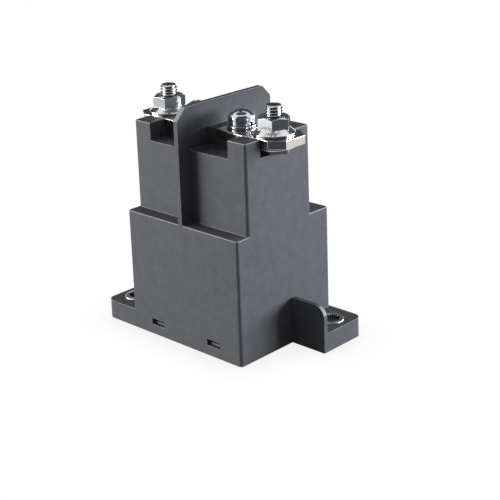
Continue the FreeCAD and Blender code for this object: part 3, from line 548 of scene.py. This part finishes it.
def cut_recess(piece, middle, top, turn):
    """Sink a tapered cross into the piece."""
    bm = bmesh.new()
    foot = cross_corners(middle, RECESS_FOOT_SPAN, RECESS_FOOT_ARM, turn, top - RECESS_DEPTH)
    mouth = cross_corners(middle, RECESS_SPAN, RECESS_ARM, turn, top + RECESS_RISE)
    add_loft(bm, foot, mouth)
    cutter = to_piece(bm, "cross_cutter", RECESS_SHARP)
    cut = piece.modifiers.new("recess", "BOOLEAN")
    cut.operation = "DIFFERENCE"
    cut.object = cutter
    cut.solver = "EXACT"
    result = bpy.data.meshes.new_from_object(piece.evaluated_get(bpy.context.evaluated_depsgraph_get()))
    piece.modifiers.clear()
    piece.data = result
    shade_round(result, SCREW_SHARP)
    bpy.data.objects.remove(cutter)


def make_screw(side):
    """Pan head screw with a tapered cross recess."""
    node = f"terminal_screw_{side}"
    low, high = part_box(node)
    middle = middle_of(node)
    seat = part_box(f"spring_washer_{side}")[1].z
    radius = (high.x - low.x) / 2
    profile = [(0, low.z), (SHANK_RADIUS - SHANK_EDGE, low.z), (SHANK_RADIUS, low.z + SHANK_EDGE),
               (SHANK_RADIUS, seat), (radius - HEAD_EDGE, seat), (radius, seat + HEAD_EDGE)]
    rise = high.z - seat - HEAD_SIDE
    for step in range(HEAD_STEPS):
        angle = math.pi / 2 * step / HEAD_STEPS
        out = math.cos(angle) ** (2 / HEAD_CURVE)
        upward = math.sin(angle) ** (2 / HEAD_CURVE)
        profile.append((radius * out, seat + HEAD_SIDE + rise * upward))
    profile.append((0, high.z))
    bm = bmesh.new()
    add_lathe(bm, middle, profile)
    piece = to_piece(bm, f"pan_head_screw_{side}", SCREW_SHARP)
    cut_recess(piece, middle, high.z, SCREW_TURNS[side])
    dress(piece, blue_zinc)
    stand_for(piece, node, "base")


# Mounting bushes

BUSH_BORE = 3.1 * MM
BUSH_OUTER_EDGE = 0.42 * MM
BUSH_INNER_EDGE = 0.15 * MM
BUSH_STEPS = 6


def make_bush(side):
    """Plated bush, whose rounded rim stands a little proud of the foot."""
    node = f"mounting_bush_{side}"
    low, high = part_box(node)
    top = high.z
    radius = (high.x - low.x) / 2
    outer, inner = BUSH_OUTER_EDGE, BUSH_INNER_EDGE
    profile = [(BUSH_BORE, low.z + inner), (BUSH_BORE + inner, low.z), (radius, low.z),
               (radius, top - outer)]
    for step in range(1, BUSH_STEPS + 1):
        angle = math.pi / 2 * step / BUSH_STEPS
        profile.append((radius - outer * (1 - math.cos(angle)), top - outer * (1 - math.sin(angle))))
    for step in range(BUSH_STEPS + 1):
        angle = math.pi / 2 * step / BUSH_STEPS
        profile.append((BUSH_BORE + inner * (1 - math.sin(angle)), top - inner * (1 - math.cos(angle))))
    bm = bmesh.new()
    add_ring(bm, middle_of(node), profile)
    piece = to_piece(bm, f"plated_bush_{side}", TURNED_SHARP)
    dress(piece, nickel)
    stand_for(piece, node, "base")


# Bottom cover

# Heights on the hooks: as the node has them, and with the noses let down.
HOOK_LEVELS = ((3.85 * MM, 3.65 * MM), (5.1 * MM, 4.42 * MM), (5.65 * MM, 4.44 * MM))
SAME_LEVEL = 0.01 * MM


def make_cover():
    """The bottom cover, the flat noses of its hooks resting on the floors of the slots."""
    mesh = nodes["bottom_cover"].data.copy()
    for vertex in mesh.vertices:
        for level, lowered in HOOK_LEVELS:
            if abs(vertex.co.z - level) < SAME_LEVEL:
                vertex.co.z = lowered
                break
    piece = bpy.data.objects.new("snap_cover", mesh)
    bpy.context.scene.collection.objects.link(piece)
    dress(piece, cover_plastic)
    soften(piece, "bottom_cover")
    stand_for(piece, "bottom_cover", "base")


# Springs

WIRE = 0.6 * MM
WIRE_POINTS = 10
WIRE_SHARP = 50
TURN_STEPS = 40
# For each spring: its turns, the body that carries it, the joint that presses it and its fixed end.
SPRINGS = {
    "contact_spring": (3, "armature", "bridge_slide", "low"),
    "return_spring": (4, "base", "armature_slide", "high"),
}


def make_spring(node, turns, body):
    """Round wire wound up the axis."""
    low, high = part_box(node)
    x, y = middle_of(node)
    radius = (high.x - low.x - WIRE) / 2
    length = high.z - low.z
    bm = bmesh.new()
    steps = turns * TURN_STEPS
    rings = []
    for step in range(steps + 1):
        height = low.z + WIRE / 2 + (length - WIRE) * step / steps
        ring = []
        for point in range(WIRE_POINTS):
            around = 2 * math.pi * point / WIRE_POINTS
            out = radius + WIRE / 2 * math.cos(around)
            level = height + WIRE / 2 * math.sin(around)
            ring.append(bm.verts.new(on_ring((x, y), out, 2 * math.pi * step / TURN_STEPS, level)))
        rings.append(ring)
    for below, above in zip(rings, rings[1:]):
        for point in range(WIRE_POINTS):
            after = (point + 1) % WIRE_POINTS
            bm.faces.new((below[point], below[after], above[after], above[point]))
    bm.faces.new(rings[0])
    bm.faces.new(rings[-1])
    piece = to_piece(bm, f"wound_{node}", WIRE_SHARP)
    dress(piece, steel)
    stand_for(piece, node, body)
    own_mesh(piece)


make_cover()
for node, (turns, body, joint, fixed_end) in SPRINGS.items():
    make_spring(node, turns, body)
for make in (make_bush, make_stud, make_screw):
    for side in SIDES:
        make(side)


# Camera

# The photograph's own view: where the lens stands, and how it is turned.
LENS_PLACE = Vector((282.31, -282.42, 180.64)) * MM
TURN = math.radians(44.109)
RISE = math.radians(20.969)
TILT = math.radians(-2.038)
FOCAL_PX = 1209.55
IMAGE_PX = 500
CENTRE_OFF_PX = (-3.32, 2.74)
SENSOR = 36.0
NEAREST = 0.01


def make_camera():
    level = Vector((math.cos(TURN), math.sin(TURN), 0))
    back = Vector((math.sin(TURN) * math.cos(RISE), -math.cos(TURN) * math.cos(RISE), math.sin(RISE)))
    up = back.cross(level)
    right = math.cos(TILT) * level + math.sin(TILT) * up
    above = -math.sin(TILT) * level + math.cos(TILT) * up
    data = bpy.data.cameras.new("camera")
    data.sensor_width = SENSOR
    data.lens = SENSOR * FOCAL_PX / IMAGE_PX
    data.shift_x = -CENTRE_OFF_PX[0] / IMAGE_PX
    data.shift_y = CENTRE_OFF_PX[1] / IMAGE_PX
    data.clip_start = NEAREST
    camera = bpy.data.objects.new("camera", data)
    bpy.context.scene.collection.objects.link(camera)
    camera.matrix_world = Matrix((right, above, back)).transposed().to_4x4()
    camera.matrix_world.translation = LENS_PLACE
    bpy.context.scene.camera = camera


make_camera()


# Lamps

AIM = Vector((0, 0, 45)) * MM
# For each softbox: azimuth from +X towards +Y and height above the floor's plane, both in degrees,
# distance, width and height in metres, power in watts, and colour.
SOFTBOXES = {
    "softbox_left": (-138, 8, 1.2, 0.90, 0.38, 19.2, (1.0, 0.99, 0.97)),
    "softbox_right": (54, 8, 1.2, 1.36, 0.38, 28.8, (0.95, 0.98, 1.0)),
}


def make_softbox(name, azimuth, height, distance, width, tall, power, tint):
    data = bpy.data.lights.new(name, "AREA")
    data.shape = "RECTANGLE"
    data.size = width
    data.size_y = tall
    data.energy = power
    data.color = tint
    lamp = bpy.data.objects.new(name, data)
    bpy.context.scene.collection.objects.link(lamp)
    turn, rise = math.radians(azimuth), math.radians(height)
    way = Vector((math.cos(turn) * math.cos(rise), math.sin(turn) * math.cos(rise), math.sin(rise)))
    point = AIM + way * distance
    facing = (point - AIM).to_track_quat("Z", "Y").to_matrix().to_4x4()
    lamp.matrix_world = Matrix.Translation(point) @ facing


for name, softbox in SOFTBOXES.items():
    make_softbox(name, *softbox)


# Cloths

DARK = (0.07, 0.075, 0.09)
GREY = (0.55, 0.56, 0.57)
# Cloths that only reflections show: the azimuths of their ends, their colour, and their line as distance
# from the middle and height. The gaps between them are the windows of the two softboxes.
CLOTHS = {
    "front_cloth": (-97, 17, DARK, ((0.10, 0.0004), (0.26, 0.0004), (0.34, 0.03), (0.38, 0.12),
                                    (0.38, 0.45), (0.265, 0.73))),
    "back_cloth": (72, 194, DARK, ((0.38, 0.125), (0.38, 0.45))),
    "low_back_cloth": (92, 128, DARK, ((0.27, 0.0004), (0.27, 0.05))),
    "low_left_cloth": (-152, -122, GREY, ((0.20, 0.0004), (0.27, 0.0004), (0.27, 0.05))),
    "canopy": (-180, 180, DARK, ((0.001, 0.74), (0.30, 0.74))),
}
CANOPY_PLACE = Vector((-155, 155, 0)) * MM
# A card that no reflection shows, and that keeps part of the right softbox's light off the barrier's top.
FLAG = (20, 88, DARK, ((0.10, 0.10), (0.10, 0.17)))
CLOTH_STEPS = 48


def cloth_material(name, glow):
    material = bpy.data.materials.new(name)
    material.use_nodes = True
    tree = material.node_tree
    tree.nodes.remove(tree.nodes["Principled BSDF"])
    shine = tree.nodes.new("ShaderNodeEmission")
    shine.inputs["Color"].default_value = (*glow, 1)
    link(tree, shine, 0, tree.nodes["Material Output"], "Surface")
    return material


def make_cloth(name, start, end, glow, line, reflected=True):
    """A cloth that shows in reflections and casts no shadow, or, if not reflected, the other way round."""
    mesh = bpy.data.meshes.new(name)
    points = []
    faces = []
    rows = len(line)
    for step in range(CLOTH_STEPS + 1):
        turn = math.radians(start + (end - start) * step / CLOTH_STEPS)
        for out, height in line:
            points.append((out * math.cos(turn), out * math.sin(turn), height))
    for step in range(CLOTH_STEPS):
        for row in range(rows - 1):
            corner = step * rows + row
            faces.append((corner, corner + rows, corner + rows + 1, corner + 1))
    mesh.from_pydata(points, [], faces)
    cloth = bpy.data.objects.new(name, mesh)
    bpy.context.scene.collection.objects.link(cloth)
    cloth.visible_camera = False
    cloth.visible_diffuse = False
    cloth.visible_transmission = False
    cloth.visible_volume_scatter = False
    cloth.visible_glossy = reflected
    cloth.visible_shadow = not reflected
    mesh.materials.append(cloth_material(name, glow))
    cloth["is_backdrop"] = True
    return cloth


cloths = {name: make_cloth(name, *cloth) for name, cloth in CLOTHS.items()}
cloths["canopy"].location = CANOPY_PLACE
make_cloth("flag", *FLAG, reflected=False)


# World and floor

WHITE = (1, 1, 1, 1)
AMBIENT = 0.15
PAPER = (0.3, 0.3, 0.31, 1)
PAPER_ROUGH = 0.9
FLOOR_SIZE = 6.0
FLOOR_GAP = 0.02 * MM
# The floor's shadow for the lens: how far it reaches, and the brightness it keeps where it is deepest.
SHADOW_REACH = 14 * MM
SHADOW_LEAST = 0.76


def mix_by_ray(tree, lighting, shown, output):
    """The shader shown to the lens, in reflections and through glass, and lighting to everything else."""
    path = tree.nodes.new("ShaderNodeLightPath")
    direct = maths(tree, "MAXIMUM", (path, "Is Camera Ray"), (path, "Is Glossy Ray"))
    every = maths(tree, "MAXIMUM", (direct, 0), (path, "Is Transmission Ray"))
    mix = tree.nodes.new("ShaderNodeMixShader")
    link(tree, every, 0, mix, 0)
    link(tree, lighting, 0, mix, 1)
    link(tree, shown, 0, mix, 2)
    link(tree, mix, 0, tree.nodes[output], "Surface")


def make_world():
    world = bpy.data.worlds.new("studio")
    bpy.context.scene.world = world
    world.use_nodes = True
    tree = world.node_tree
    ambient = tree.nodes["Background"]
    white = tree.nodes.new("ShaderNodeBackground")
    for background, strength in ((ambient, AMBIENT), (white, 1)):
        background.inputs["Color"].default_value = WHITE
        background.inputs["Strength"].default_value = strength
    mix_by_ray(tree, ambient, white, "World Output")


def make_floor():
    bpy.ops.mesh.primitive_plane_add(size=FLOOR_SIZE)
    floor = bpy.context.object
    floor.name = "floor"
    floor.location.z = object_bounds()[0][2] - FLOOR_GAP
    material = bpy.data.materials.new("floor_paper")
    material.use_nodes = True
    tree = material.node_tree
    paper = tree.nodes["Principled BSDF"]
    paper.inputs["Base Color"].default_value = PAPER
    paper.inputs["Roughness"].default_value = PAPER_ROUGH
    paper.inputs["Specular IOR Level"].default_value = 0
    dim = tree.nodes.new("ShaderNodeAmbientOcclusion")
    dim.inputs["Distance"].default_value = SHADOW_REACH
    path = tree.nodes.new("ShaderNodeLightPath")
    least = maths(tree, "MULTIPLY", (path, "Is Camera Ray"), SHADOW_LEAST)
    shadow = map_range(tree, dim, "AO", (0, 1), (0, 1), smooth=False)
    link(tree, least, 0, shadow, "To Min")
    glow = tree.nodes.new("ShaderNodeEmission")
    link(tree, shadow, "Result", glow, "Color")
    mix_by_ray(tree, paper, glow, "Material Output")
    floor.data.materials.append(material)
    floor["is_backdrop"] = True


make_world()
make_floor()

bpy.context.scene.view_settings.view_transform = "Standard"
